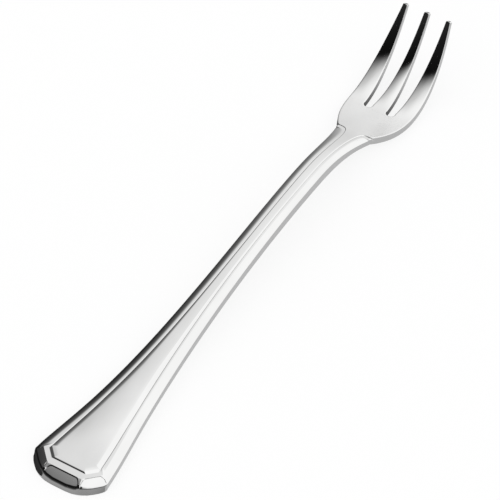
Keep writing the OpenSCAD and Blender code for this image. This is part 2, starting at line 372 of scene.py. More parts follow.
def side_insets(v):
    return panel_insets(0, BEVEL_W, PANEL_SIDE, STEP_W, v)


def between(a, b, t):
    return tuple(p + (q - p) * t for p, q in zip(a, b))


# The point between a and b, or outside a, where a depth is reached, found by halving
MEET_FROM = -1.5
HALVINGS = 40


def meet(a, b, depth):
    low = MEET_FROM
    high = 1.0
    for _ in range(HALVINGS):
        t = (low + high) / 2
        if depth(between(a, b, t)) > 0:
            high = t
        else:
            low = t
    return between(a, b, high)


# Setbacks at the inner corners of each kind of row
PANEL_SETBACKS = [STEP_FOOT, STEP_HEAD, ROLL_EDGE]
END_SETBACKS = [END_LOWER_EDGE, END_EDGE, FACET_EDGE, FACET_EDGE, RIM_EDGE] + PANEL_SETBACKS
SIDE_SETBACKS = [LOWER_EDGE, WALL_EDGE, BEVEL_EDGE, BEVEL_EDGE, NO_EDGE] + PANEL_SETBACKS
PLATE_SETBACKS = [LOWER_EDGE] + 6 * [NO_EDGE] + [PLATE_EDGE]
# Corners of a row by number: the foot and the top of the wall, and the inner edge of the rim
WALL_FOOT = 1
WALL_TOP = 2
RIM_INNER = 5


# Depth inside the foot of the end's wall
def lower(p):
    return depth_in(p, 0, 0, SIDE_IN, BOW_ROUND, SIDE_ROUND)


# A row of the end over its plan points, from the point a beside the wall, with its facet sunk or not
def end_row(a, plan, sunk):
    def upper(p):
        return depth_in(p, END_LEAN, CUT_LEAN, 0, BOW_ROUND, CRISP_ROUND)

    edge = meet(a, plan[2], lower)
    foot = meet(edge, plan[2], lambda p: lower(p) - FOOT_IN)
    wall = meet(a, plan[2], upper)
    drop = FACET_SINK if sunk else 0
    points = [foot, edge, wall] + plan
    bevel = [bevel_height(wall) - FACET_SINK, bevel_height(plan[0]) - drop, bevel_height(plan[1])]
    heights = [0, 0] + bevel + [RIM_H, RIM_H, PLATE_T - END_ROLL_H, PLATE_T, PLATE_T]
    return [(x, s, h) for (x, s), h in zip(points, heights)], END_SETBACKS


# Share of the bevel's width that a facet reaches at a share g of its round corner
def facet_reach(g):
    return 1 - FACET_ROUND * (1 - min(g, 1)) ** 2


# Places along one bevel, with the facet's share of its width there
FACET_STEPS = [0, 0.07, 0.2, 0.4, 0.65, 1]
FLAT_STEPS = [0.25, 0.5, 0.75]


def facet_marks(first, last, width):
    size = FACET_ROUND * width
    rising = [(first + g * size, facet_reach(g)) for g in FACET_STEPS]
    falling = [(last - g * size, facet_reach(g)) for g in FACET_STEPS[::-1]]
    flat = [(first + size + (last - first - 2 * size) * t, 1) for t in FLAT_STEPS]
    return rising + flat + falling


def middle_row(t, v, sunk):
    a = between((0, END_LEAN), flat_corner(END_LEAN, CUT_LEAN), t)
    plan = [between((0, d), flat_corner(d, c), t) for d, c in zip(middle_insets(v), cut_insets(v))]
    return end_row(a, plan, sunk)


def cut_row(t, v, sunk):
    a = between(flat_corner(END_LEAN, CUT_LEAN), side_corner(SIDE_MEET, 0), t)
    insets = zip(middle_insets(v), cut_insets(v), side_insets(v))
    plan = [between(flat_corner(d, c), side_corner(c, e), t) for d, c, e in insets]
    return end_row(a, plan, sunk)


# Rows from the middle of the end over a ridge to its corner
def middle_rows():
    run = flat_corner(END_LEAN, CUT_LEAN)[0]
    last = run - RIDGE
    low = facet_reach(0)
    marks = facet_marks(-last, last, END_BEVEL_W)
    rows = [middle_row(at / run, v, True) for at, v in marks[len(marks) // 2 :]]
    ridge = (last + FACET_WALL_W, last + RIDGE_EDGE, run - RIDGE_TOP, run)
    return rows + [middle_row(at / run, low, False) for at in ridge]


# Rows along the cut corner to its meeting with the long side
def cut_rows():
    run = math.dist(flat_corner(END_LEAN, CUT_LEAN), side_corner(SIDE_MEET, 0))
    last = run - SIDE_RIDGE
    low = facet_reach(0)
    ridge = (RIDGE_TOP, RIDGE - RIDGE_EDGE, RIDGE - FACET_WALL_W)
    rows = [cut_row(at / run, low, False) for at in ridge]
    rows += [cut_row(at / run, v, True) for at, v in facet_marks(RIDGE, last, CUT_BEVEL_W)]
    return rows + [cut_row(at / run, low, False) for at in (last + FACET_WALL_W, run)]


# Rows from there to the first row straight across the handle
def start_rows():
    last = cut_rows()[-1][0]
    first = side_row(SIDE_FROM)[0]
    rows = []
    for t in START_SHARES:
        corners = [between(p, q, t) for p, q in zip(last, first)]
        edge = meet(corners[WALL_TOP][:2], corners[RIM_INNER][:2], lower)
        corners[WALL_FOOT] = (edge[0], edge[1], 0)
        rows.append((corners, SIDE_SETBACKS))
    return rows


# A row of the handle or neck at station s
def side_row(s):
    top = thickness(s)
    rim = top - STEP_H * step_share(s)
    drop = bevel_drop(s)
    panel = panel_line(s)
    width = half_width(s)
    crest = rim_line(s) + (step_line(s) - rim_line(s)) * CREST_AT
    roll_w, roll_h = roll(s)

    def panel_height(x):
        return top + crown(s) * (1 - (x / panel) ** 2)

    middle = panel - ROLL_MIDDLE * roll_w
    inner = panel - roll_w
    corners = [
        (width - FOOT_IN, s, 0),
        (width, s, 0),
        (width, s, rim - drop),
        ((width + rim_line(s)) / 2, s, rim - drop * BEVEL_MIDDLE),
        (rim_line(s), s, rim),
        (crest, s, rim),
        (step_line(s), s, rim - RIM_DIP * step_share(s)),
        (panel, s, top - roll_h),
        (middle, s, panel_height(middle)),
        (inner, s, panel_height(inner)),
    ]
    return corners, SIDE_SETBACKS


# Heights of the corners up a plate's wall, as shares of its thickness
WALL_SHARES = [0, 0.4, 0.55, 0.65, 0.7, 0.75, 0.8, 1]


# A row of a plate's edge, at a point in plan with the direction in over the plate
def plate_row(x, s, inward, reach=PLATE_IN):
    t = thickness(s)
    foot = (x + inward[0] * reach, s + inward[1] * reach)
    wall = [(x, s, t * k) for k in WALL_SHARES]
    corners = [(foot[0], foot[1], 0)] + wall + [(foot[0], foot[1], plate_height(*foot))]
    return corners, PLATE_SETBACKS


# Top of the head and tines: each tine is slightly crowned across
def plate_height(x, s):
    if s <= SLOT_S:
        return thickness(s)
    half = middle_edge(s)
    middle = 0.0
    if abs(x) > half:
        half = (half_width(s) - outer_edge(s)) / 2
        middle = (half_width(s) + outer_edge(s)) / 2
    grown = eased(s, SLOT_S, SLOT_S + EASE_LEN) * (1 - eased(s, TIP - EASE_LEN, TIP_FROM))
    return thickness(s) + TINE_CROWN * grown * (1 - ((abs(x) - middle) / half) ** 2)


# Edges of the tines
def tine_share(s):
    return (s - BELLY) / (TIP - BELLY)


def middle_edge(s):
    return (MIDDLE_ROOT_W + (MIDDLE_TIP_W - MIDDLE_ROOT_W) * tine_share(s)) / 2


def outer_edge(s):
    root = MIDDLE_ROOT_W / 2 + SLOT_W
    return root + (TIP_SPAN / 2 - OUTER_TIP_W - root) * tine_share(s)


def edge_inward(edge, s, side, step=0.05):
    slope = (edge(s + step) - edge(s - step)) / (2 * step)
    size = math.hypot(1, slope)
    return (side / size, -side * slope / size)


SLOT_X = (MIDDLE_ROOT_W + SLOT_W) / 2
SLOT_R = SLOT_W / 2
SLOT_S = BELLY - SLOT_DEPTH + SLOT_R
TIP_FROM = TIP - TIP_ROUND


# Values spread evenly from start to end
def spread(start, end, count):
    return [start + (end - start) * (i / count) for i in range(count + 1)]


# Stations of the rows, which crowd where the border lines hook out and at the roots of the slots
HANDLE_STEPS = 60
NECK_STEPS = 44
HOOK_STEPS = 70
HOOK_LEN = 8
HOOK_CROWD = 2.2
HEAD_STEPS = 24
ROOT_STEPS = 4
TINE_STEPS = 40
TURN_STEPS = 12
HANDLE_STATIONS = spread(SIDE_FROM, NECK_FROM, HANDLE_STEPS)
NECK_STATIONS = spread(NECK_FROM, SHOULDER - HOOK_LEN, NECK_STEPS)[1:]
HOOK_STATIONS = [
    SHOULDER - HOOK_LEN * (1 - i / HOOK_STEPS) ** HOOK_CROWD for i in range(1, HOOK_STEPS + 1)
]
HEAD_STATIONS = spread(SHOULDER, SLOT_S - SLOT_R - PLATE_IN, HEAD_STEPS)[1:]
SLOT_TURNS = [math.pi / 2 * i / TURN_STEPS for i in range(2 * TURN_STEPS + 1)]
ROOT_STATIONS = [SLOT_S - (SLOT_R + PLATE_IN) * math.cos(a) for a in SLOT_TURNS[1 : TURN_STEPS + 1]]
ROOT_TINE_STATIONS = spread(SLOT_S, BELLY, ROOT_STEPS)[1:]
TINE_STATIONS = spread(BELLY, TIP_FROM, TINE_STEPS)[1:]
TIP_TURNS = [math.pi * i / TURN_STEPS for i in range(TURN_STEPS + 1)]
TIP_POWER = 0.6


# Rows round the blunt tip of a tine
def tip_rows(centre, half, turns):
    rows = []
    for a in turns:
        across = math.copysign(abs(math.cos(a)) ** TIP_POWER, math.cos(a))
        x = centre + half * across
        s = TIP_FROM + TIP_ROUND * math.sin(a) ** TIP_POWER
        inward = (-math.cos(a), -math.sin(a))
        rows.append(plate_row(x, s, inward, min(PLATE_IN, half * TIP_IN)))
    return rows


# The right-hand half of the outline, from the middle of the end to the tip of the middle tine
def half_outline():
    parts = {}
    rows = []

    def add(name, new):
        parts[name] = range(len(rows), len(rows) + len(new))
        rows.extend(new)

    outer = HEAD_STATIONS + ROOT_STATIONS + ROOT_TINE_STATIONS + TINE_STATIONS
    tine = ROOT_TINE_STATIONS + TINE_STATIONS
    outer_tip = (half_width(TIP_FROM) + outer_edge(TIP_FROM)) / 2
    outer_half = (half_width(TIP_FROM) - outer_edge(TIP_FROM)) / 2
    add("middle_end", middle_rows())
    add("cut", cut_rows())
    add("start", start_rows())
    add("handle", [side_row(s) for s in HANDLE_STATIONS])
    add("neck", [side_row(s) for s in NECK_STATIONS + HOOK_STATIONS])
    add("outer", [plate_row(half_width(s), s, edge_inward(half_width, s, -1)) for s in outer])
    add("outer_tip", tip_rows(outer_tip, outer_half, TIP_TURNS[1:-1]))
    add("inner", [plate_row(outer_edge(s), s, edge_inward(outer_edge, s, 1)) for s in tine[::-1]])
    add("slot", slot_rows())
    add("middle", [plate_row(middle_edge(s), s, edge_inward(middle_edge, s, -1)) for s in tine])
    add("middle_tip", tip_rows(0, middle_edge(TIP_FROM), TIP_TURNS[1 : TURN_STEPS // 2 + 1]))
    return rows, parts


# Round root of the right-hand slot, from the outer tine to the middle one
def slot_rows():
    rows = []
    for a in SLOT_TURNS:
        out = (math.cos(a), -math.sin(a))
        x = SLOT_X + SLOT_R * out[0]
        s = SLOT_S + SLOT_R * out[1]
        rows.append(plate_row(x, s, out))
    return rows


# Points along a row, with each inner corner rounded
def soften(corners, setbacks):
    points = [Vector(c) for c in corners]
    path = [points[0]]
    for i, setback in enumerate(setbacks, start=1):
        before = points[i] - points[i - 1]
        after = points[i + 1] - points[i]
        back = min(setback, SETBACK_MOST * before.length, SETBACK_MOST * after.length)
        for k in range(EDGE_POINTS):
            t = k / (EDGE_POINTS - 1)
            start = before.normalized() * back * (1 - t) ** 2
            path.append(points[i] - start + after.normalized() * back * t**2)
    path.append(points[-1])
    return path


# The whole outline: the right half, then the same rows mirrored back to the start
def full_outline(rows):
    paths = [soften(*row) for row in rows]
    flip = Vector((-1, 1, 1))
    mirrored = [[p * flip for p in path] for path in paths[-2:0:-1]]
    return paths + mirrored


# Smooth normals shared by all the pieces, in which larger faces count for more
def shared_normals(spots, faces):
    totals = {key: Vector() for key in spots}
    for face in faces:
        corners = [spots[key] / MM for key in face]
        area = Vector()
        for a, b in zip(corners[1:], corners[2:]):
            area += (a - corners[0]).cross(b - corners[0])
        for key in face:
            totals[key] += area
    return {key: total.normalized() for key, total in totals.items()}


# Points along a row, from the first on the underside to the last on the top
ROW_POINTS = 2 + len(SIDE_SETBACKS) * EDGE_POINTS
TOP = ROW_POINTS - 1
BOTTOM = 0
# The rung at which a tine meets the head, counted from the root of its slot
TINE_CUT = TURN_STEPS + ROOT_STEPS
TINES = ("tine_left", "tine_middle", "tine_right")
# Row of the cut corner at which the rungs across the handle start
FIRST_ROW = 4
# Place of the left slot's root on the last of those rungs, and the points across the tines
SLOT_POINT = 3
THIRDS = [1 / 3, 2 / 3]
SIXTHS = [i / 6 for i in range(1, 6)]


def top_height(x, s):
    if s >= SHOULDER:
        return plate_height(x, s)
    return thickness(s) + crown(s) * (1 - (x / panel_line(s)) ** 2)


# Rungs across the top or the underside, each from a row on its left to a row on its right
def ladder(spots, paths, lines, fractions, k, start=None):
    rungs = [start] if start else []
    for left, right in lines:
        a = paths[left][k]
        b = paths[right][k]
        rung = [("row", left, k)]
        for f in fractions:
            x = a.x + (b.x - a.x) * f
            s = a.y + (b.y - a.y) * f
            key = ("rung", left, right, k, f)
            spots[key] = place((x, s, top_height(x, s) if k == TOP else 0))
            rung.append(key)
        rung.append(("row", right, k))
        rungs.append(rung)
    return rungs


def rung_faces(rungs, k):
    faces = []
    for low, high in zip(rungs, rungs[1:]):
        for j in range(len(low) - 1):
            face = [low[j], low[j + 1], high[j + 1], high[j]]
            faces.append(face if k == TOP else face[::-1])
    return faces


def row_faces(first, last, count):
    faces = []
    for i in range(first, last):
        a = i % count
        b = (i + 1) % count
        for k in range(ROW_POINTS - 1):
            faces.append([("row", a, k), ("row", b, k), ("row", b, k + 1), ("row", a, k + 1)])
    return faces


# The closed ring of a cut across the fork or across a tine, as seen from the handle's side
def cut_ring(top, bottom):
    right = [("row", top[-1][1], k) for k in range(ROW_POINTS)]
    left = [("row", top[0][1], k) for k in reversed(range(ROW_POINTS))]
    return right + top[-2:0:-1] + left + bottom[1:-1]


# One piece, with its part of the shared skin and the flat cuts that close it
def make_piece(name, spots, smooth, faces, cuts, material):
    points = []
    normals = []
    known = {}

    def number(key, point, normal):
        if key not in known:
            known[key] = len(points)
            points.append(point)
            normals.append(normal)
        return known[key]

    shapes = [[number(key, spots[key], smooth[key]) for key in face] for face in faces]
    for ring, facing in cuts:
        corners = [spots[key] for key in ring]
        third = len(corners) // 3
        normal = (corners[third] - corners[0]).cross(corners[2 * third] - corners[0]).normalized()
        order = ring if facing < 0 else ring[::-1]
        flat = -normal if facing > 0 else normal
        shapes.append([number(("cut", key, facing), spots[key], flat) for key in order])
    mesh = bpy.data.meshes.new(name)
    mesh.from_pydata(points, [], shapes)
    mesh.update()
    mesh.polygons.foreach_set("use_smooth", [True] * len(mesh.polygons))
    mesh.normals_split_custom_set_from_vertices(normals)
    mesh.materials.append(material)
    piece = bpy.data.objects.new(f"{name}_steel", mesh)
    bpy.context.scene.collection.objects.link(piece)
    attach(piece, "root")
    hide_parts(name)


# The fork's six pieces, which share their points and normals where they meet
def fork(material):
    rows, parts = half_outline()
    paths = full_outline(rows)
    count = len(paths)
    spots = {("row", i, k): place(path[k]) for i, path in enumerate(paths) for k in range(ROW_POINTS)}
    faces = {name: [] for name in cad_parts}
    rings = {}

    def left(i):
        return (count - i) % count

    for k in (TOP, BOTTOM):
        spine, tines = all_rungs(spots, paths, parts, left, k)
        add_spine(faces, rings, spine, parts, count, k)
        add_tines(faces, rings, tines, parts, left, k)
    add_border(faces, parts, count)
    cuts = piece_cuts(rings)
    smooth = shared_normals(spots, [face for name in faces for face in faces[name]])
    for name in faces:
        make_piece(name, spots, smooth, faces[name], cuts[name], material)


# Points across the spine as shares of its width, which part over the roots of the slots
def spine_shares(half):
    q = SLOT_X / half
    outer_part = [q + (1 - q) / 3, q + (1 - q) * 2 / 3]
    right_half = [q / 3, q * 2 / 3, q] + outer_part
    across = [-u for u in right_half[::-1]] + [0] + right_half
    return [(u + 1) / 2 for u in across]


# Rungs of the spine and of the tines over the top or the underside
def all_rungs(spots, paths, parts, left, k):
    slot = parts["slot"]
    root = parts["outer"][len(HEAD_STATIONS) - 1]
    spine_lines = [(left(i), i) for i in range(parts["cut"][FIRST_ROW], root + 1)]
    spine = ladder(spots, paths, spine_lines, spine_shares(paths[root][k].x), k)
    last = spine[-1]
    right_slot = -1 - SLOT_POINT
    last[SLOT_POINT] = ("row", left(slot[TURN_STEPS]), k)
    last[right_slot] = ("row", slot[TURN_STEPS], k)
    root_lines = [(slot[TURN_STEPS - j], root + j) for j in range(1, TURN_STEPS + 1)]
    root_end = root + TURN_STEPS
    tine_lines = [(slot[0] - j, root_end + j) for j in range(1, ROOT_STEPS + TINE_STEPS + 1)]
    outer = ladder(spots, paths, root_lines + tine_lines, THIRDS, k, last[right_slot:])
    middle_lines = [(left(i), i) for i in [*slot[TURN_STEPS + 1 :], *parts["middle"]]]
    middle = ladder(spots, paths, middle_lines, SIXTHS, k, last[SLOT_POINT:-SLOT_POINT])
    outer_left = mirror_rungs(spots, outer, left)
    return spine, {"tine_right": outer, "tine_left": outer_left, "tine_middle": middle}


# Faces of the handle, the neck and the head between the rungs of the spine
def add_spine(faces, rings, spine, parts, count, k):
    first = parts["cut"][FIRST_ROW]
    neck = parts["handle"][-1] - first
    shoulder = parts["neck"][-1] - first
    add_end(faces["handle"], spine[0], first, count, k)
    faces["handle"] += rung_faces(spine[: neck + 1], k)
    faces["neck"] += rung_faces(spine[neck : shoulder + 1], k)
    faces["head"] += rung_faces(spine[shoulder:], k)
    rings.setdefault("handle", []).append(spine[neck])
    rings.setdefault("neck", []).append(spine[shoulder])


# Faces of the tines between their rungs, and of the head between their roots
def add_tines(faces, rings, tines, parts, left, k):
    outer_tip = parts["outer_tip"]
    tips = {
        "tine_right": outer_tip,
        "tine_left": [left(i) for i in outer_tip][::-1],
        "tine_middle": middle_tip(parts["middle_tip"], left),
    }
    for name, rungs in tines.items():
        faces["head"] += rung_faces(rungs[: TINE_CUT + 1], k)
        faces[name] += rung_faces(rungs[TINE_CUT:], k)
        face = rungs[-1] + [("row", i, k) for i in tips[name]]
        faces[name].append(face if k == TOP else face[::-1])
        rings.setdefault(name, []).append(rungs[TINE_CUT])


# Faces of the border between the rows, on the right and on the left
def add_border(faces, parts, count):
    neck = parts["handle"][-1]
    shoulder = parts["neck"][-1]
    belly = parts["outer"][len(HEAD_STATIONS) - 1 + TINE_CUT]
    inner_belly = parts["inner"][len(TINE_STATIONS)]
    middle_belly = parts["middle"][ROOT_STEPS - 1]
    for name, low, high in (
        ("handle", 0, neck),
        ("neck", neck, shoulder),
        ("head", shoulder, belly),
        ("tine_right", belly, inner_belly),
        ("head", inner_belly, middle_belly),
        ("tine_middle", middle_belly, parts["middle_tip"][-1]),
    ):
        faces[name] += row_faces(low, high, count)
        other = "tine_left" if name == "tine_right" else name
        faces[other] += row_faces(count - high, count - low, count)


# The flat cuts that close each piece, with the way that each one faces along the fork
def piece_cuts(rings):
    cut = {name: cut_ring(*pair) for name, pair in rings.items()}
    cuts = {name: [(cut[name], -1)] for name in TINES}
    cuts["handle"] = [(cut["handle"], 1)]
    cuts["neck"] = [(cut["handle"], -1), (cut["neck"], 1)]
    cuts["head"] = [(cut["neck"], -1)] + [(cut[name], 1) for name in TINES]
    return cuts


# The same rungs on the other side of the fork, still from left to right
def mirror_rungs(spots, rungs, left):
    flip = Vector((-1, 1, 1))
    mirrored = []
    for rung in rungs:
        line = []
        for key in rung[::-1]:
            if key[0] == "row":
                line.append(("row", left(key[1]), key[2]))
            else:
                twin = ("twin",) + key
                spots[twin] = spots[key] * flip
                line.append(twin)
        mirrored.append(line)
    return mirrored


def middle_tip(right, left):
    return list(right) + [left(i) for i in right[:-1]][::-1]


# The flat face at the handle's end, between the outline and the first rung
def add_end(faces, rung, first, count, k):
    outline = [("row", i % count, k) for i in range(count - first, count + first + 1)]
    face = outline + rung[-2:0:-1]
    faces.append(face if k == TOP else face[::-1])


# Noise in the fork's own coordinates, stretched by a scale for each axis
def noise(material, scale, detail):
    nodes = material.node_tree.nodes
    links = material.node_tree.links
    place_at = nodes.new("ShaderNodeTexCoord")
    stretch = nodes.new("ShaderNodeMapping")
    stretch.inputs["Scale"].default_value = scale
    grain = nodes.new("ShaderNodeTexNoise")
    grain.inputs["Scale"].default_value = 1
    grain.inputs["Detail"].default_value = detail
    links.new(place_at.outputs["Object"], stretch.inputs["Vector"])
    links.new(stretch.outputs["Vector"], grain.inputs["Vector"])
    return grain.outputs["Fac"]


# A value moved from one range to another
def ranged(material, value, start, end, low, high):
    change = material.node_tree.nodes.new("ShaderNodeMapRange")
    change.interpolation_type = "SMOOTHSTEP"
    change.inputs["From Min"].default_value = start
    change.inputs["From Max"].default_value = end
    change.inputs["To Min"].default_value = low
    change.inputs["To Max"].default_value = high
    material.node_tree.links.new(value, change.inputs["Value"])
    return change.outputs["Result"]


# A mix of two colours or two values
def blend(material, kind, share_of_b, a, b):
    mix = material.node_tree.nodes.new("ShaderNodeMix")
    mix.data_type = kind
    wanted = "RGBA" if kind == "RGBA" else "VALUE"
    ends = [socket for socket in mix.inputs if socket.type == wanted][-2:]
    out = [socket for socket in mix.outputs if socket.type == wanted][0]
    material.node_tree.links.new(share_of_b, mix.inputs["Factor"])
    for socket, value in zip(ends, (a, b)):
        if isinstance(value, (float, tuple)):
            socket.default_value = value
        else:
            material.node_tree.links.new(value, socket)
    return out


# How upright a face stands: the cut walls of the blank are less polished than its faces, and their darker
# colour is painted shade of the floor beside the fork, which they mirror
WALL_TILT = 0.25
WALL_TURN = (0.45, 0.73)


def upright(material):
    nodes = material.node_tree.nodes
    links = material.node_tree.links
    shape = nodes.new("ShaderNodeNewGeometry")
    parts = nodes.new("ShaderNodeSeparateXYZ")
    shift = nodes.new("ShaderNodeMath")
    shift.inputs[1].default_value = WALL_TILT
    size = nodes.new("ShaderNodeMath")
    size.operation = "ABSOLUTE"
    links.new(shape.outputs["Normal"], parts.inputs["Vector"])
    links.new(parts.outputs["Z"], shift.inputs[0])
    links.new(shift.outputs[0], size.inputs[0])
    return ranged(material, size.outputs[0], *WALL_TURN, 1, 0)


# A value that goes from low to high between two stations of the fork
def ranged_along(material, stations, low, high):
    nodes = material.node_tree.nodes
    place_at = nodes.new("ShaderNodeTexCoord")
    parts = nodes.new("ShaderNodeSeparateXYZ")
    material.node_tree.links.new(place_at.outputs["Object"], parts.inputs["Vector"])
    ends = [(s - ORIGIN_AT) * MM for s in stations]
    return ranged(material, parts.outputs["Y"], *ends, low, high)


# How hazy the head is: bending it between two dies leaves it less bright than the rest
HAZE_FROM = (SHOULDER - 0.5, SHOULDER + 2)
HAZE_TO = (BELLY - 3, BELLY + 1)


def head_haze(material):
    links = material.node_tree.links
    both = material.node_tree.nodes.new("ShaderNodeMath")
    both.operation = "MULTIPLY"
    links.new(ranged_along(material, HAZE_FROM, 0, 1), both.inputs[0])
    links.new(ranged_along(material, HAZE_TO, 1, 0), both.inputs[1])
    return both.outputs[0]


# Polished stainless steel, with faint cloudiness and polishing lines along the fork; its upright walls
# are duller and darker, the darker colour being painted shade of the floor beside the fork
POLISHED = (0.93, 0.93, 0.925, 1.0)
CLOUDY = (0.9, 0.9, 0.895, 1.0)
# Colour of the upright walls: partly a duller finish, partly painted shade
SATIN_AND_PAINTED_SHADE = (0.45, 0.45, 0.45, 1.0)
POLISHED_ROUGHNESS = (0.035, 0.085)
SATIN_ROUGHNESS = 0.3
HEAD_ROUGHNESS = 0.2
CLOUD_SCALE = (220, 90, 220)
CLOUD_DETAIL = 3
CLOUD_RANGE = (0.35, 0.65)
HAZE_SCALE = (900, 60, 900)
HAZE_DETAIL = 4
HAZE_RANGE = (0.3, 0.7)
LINE_SCALE = (5000, 120, 5000)
LINE_DETAIL = 2
LINE_STRENGTH = 0.02
LINE_DEPTH = 0.02 * MM


def steel():
    material = bpy.data.materials.new("polished_steel")
    material.use_nodes = True
    links = material.node_tree.links
    shader = material.node_tree.nodes["Principled BSDF"]
    shader.inputs["Metallic"].default_value = 1
    wall = upright(material)
    clouds = ranged(material, noise(material, CLOUD_SCALE, CLOUD_DETAIL), *CLOUD_RANGE, 0, 1)
    face = blend(material, "RGBA", clouds, POLISHED, CLOUDY)
    # Upright walls get a darker colour: painted shade of the floor beside the fork, which they mirror
    links.new(blend(material, "RGBA", wall, face, SATIN_AND_PAINTED_SHADE), shader.inputs["Base Color"])
    haze = ranged(material, noise(material, HAZE_SCALE, HAZE_DETAIL), *HAZE_RANGE, *POLISHED_ROUGHNESS)
    haze = blend(material, "FLOAT", head_haze(material), haze, HEAD_ROUGHNESS)
    links.new(blend(material, "FLOAT", wall, haze, SATIN_ROUGHNESS), shader.inputs["Roughness"])
    bump = material.node_tree.nodes.new("ShaderNodeBump")
    bump.inputs["Strength"].default_value = LINE_STRENGTH
    bump.inputs["Distance"].default_value = LINE_DEPTH
    links.new(noise(material, LINE_SCALE, LINE_DETAIL), bump.inputs["Height"])
    links.new(bump.outputs["Normal"], shader.inputs["Normal"])
    return material


# Pale floor that reads as the white background, with a faint shadow
FLOOR_SIZE = 60
FLOOR_WHITE = 0.8
PAPER = (0.87, 0.87, 0.87, 1)
PAPER_ROUGHNESS = 0.9


def floor():
    bpy.ops.mesh.primitive_plane_add(size=FLOOR_SIZE)
    plane = bpy.context.object
    plane.name = "floor"
    plane.data.materials.append(floor_paper())


def floor_paper():
    material = bpy.data.materials.new("floor_paper")
    material.use_nodes = True
    nodes = material.node_tree.nodes
    links = material.node_tree.links
    paper = nodes["Principled BSDF"]
    paper.inputs["Base Color"].default_value = PAPER
    paper.inputs["Roughness"].default_value = PAPER_ROUGHNESS
    paper.inputs["Specular IOR Level"].default_value = 0
    white = nodes.new("ShaderNodeEmission")
    ray = nodes.new("ShaderNodeLightPath")
    seen = ray.outputs["Is Camera Ray"]
    for other in ("Is Glossy Ray", "Is Transmission Ray"):
        both = nodes.new("ShaderNodeMath")
        both.operation = "ADD"
        both.use_clamp = True
        links.new(seen, both.inputs[0])
        links.new(ray.outputs[other], both.inputs[1])
        seen = both.outputs[0]
    most = nodes.new("ShaderNodeMath")
    most.operation = "MULTIPLY"
    most.inputs[1].default_value = FLOOR_WHITE
    mix = nodes.new("ShaderNodeMixShader")
    links.new(seen, most.inputs[0])
    links.new(most.outputs[0], mix.inputs["Fac"])
    links.new(paper.outputs[0], mix.inputs[1])
    links.new(white.outputs[0], mix.inputs[2])
    links.new(mix.outputs[0], nodes["Material Output"].inputs["Surface"])
    return material


# White studio all round
def studio():
    scene = bpy.context.scene
    scene.view_settings.view_transform = "Standard"
    world = bpy.data.worlds.new("white_studio")
    world.use_nodes = True
    world.node_tree.nodes["Background"].inputs["Color"].default_value = (1, 1, 1, 1)
    scene.world = world


# Broad soft lamp overhead
LAMP_SIZE = 10.0
LAMP_RADIANCE = 0.16
LAMP_AT = Vector((0.5, 1.5, 2.2))


def lamp():
    light = bpy.data.lights.new("softbox", "AREA")
    light.shape = "SQUARE"
    light.size = LAMP_SIZE
    light.energy = LAMP_RADIANCE * math.pi * LAMP_SIZE**2
    thing = bpy.data.objects.new("softbox", light)
    thing.location = LAMP_AT
    thing.visible_glossy = False
    bpy.context.scene.collection.objects.link(thing)


# Dark cards with soft edges, on one dome round the table, which only the steel sees
CARD_RADIUS = 8.0
CARD_TOP = math.radians(88)
CARD_ROWS = 24
CARD_COLUMNS = 96
# Each card lies towards a direction, and its edge is stops of how far that way and how much is covered
LEFT_FACES = Vector((-0.95, -0.22, -0.25))
LEFT_EDGE = [
    (-0.06, 0.0), (-0.01, 0.05), (0.03, 0.14), (0.07, 0.235), (0.11, 0.33), (0.22, 0.6),
    (0.37, 0.85), (0.49, 0.91), (0.58, 0.955), (0.66, 0.995), (0.74, 1.0), (0.8, 1.0),
]
FRONT_FACES = Vector((-0.33, -0.8, -0.3))
FRONT_EDGE = [
    (-0.03, 0.0), (0.06, 0.08), (0.13, 0.26), (0.2, 0.56),
    (0.255, 0.86), (0.295, 1.0), (0.35, 1.0), (0.4, 1.0),
]
LOW_FACES = Vector((0, 0.25, 1))
LOW_EDGE = [(0.0, 1.0), (0.03, 1.0), (0.16, 0.0), (0.2, 0.0)]
# The front card fades towards the right
FRONT_FADES = Vector((1, 0, 0))
FRONT_FADE = [(0.1, 1.0), (0.3, 1.0), (0.55, 0.4), (0.75, 0.4)]
# Their cloth is grey low down in front and black elsewhere
CARD_GREY = 0.2
CARD_BLACK = 0.004
GREY_FACES = Vector((0, 0.35, 1))
GREY_UP_TO = -0.2
BLACK_FROM = -0.1
# Added to every stop, because a ramp starts at zero
RAMP_LIFT = 0.2
# Greys and sizes of the cards on the table, which lie just above it and reach a little under the fork:
# their greys are painted shadow of the floor round the fork, which only the steel's reflections see
FRONT_SHADOW_GREY = 0.34
SIDE_SHADOW_GREY = 0.16
CORNER_SHADOW_BLACK = 0.03
CORNER_LEN = 8.0
SIDE_POINTS = 40
# Painted shadow under the slots: its grey at their roots and its white under the tips
UNDER_SHADOW_GREY = 0.2
UNDER_WHITE = 0.95
UNDER_W = 11.2
UNDER_FADE = (SLOT_S, TIP - EASE_LEN)
TABLE_LIFT = 0.1 * MM
TABLE_UNDER = 0.2 * MM


def cards():
    points = []
    for i in range(CARD_ROWS + 1):
        rise = CARD_TOP * i / CARD_ROWS
        for j in range(CARD_COLUMNS):
            a = math.tau * j / CARD_COLUMNS
            flat = math.cos(rise)
            points.append(Vector((math.cos(a) * flat, math.sin(a) * flat, math.sin(rise))) * CARD_RADIUS)
    faces = []
    for i in range(CARD_ROWS):
        for j in range(CARD_COLUMNS):
            a = i * CARD_COLUMNS + j
            b = i * CARD_COLUMNS + (j + 1) % CARD_COLUMNS
            faces.append((a, a + CARD_COLUMNS, b + CARD_COLUMNS, b))
    add_card("dark_cards", points, faces, card_cloth())
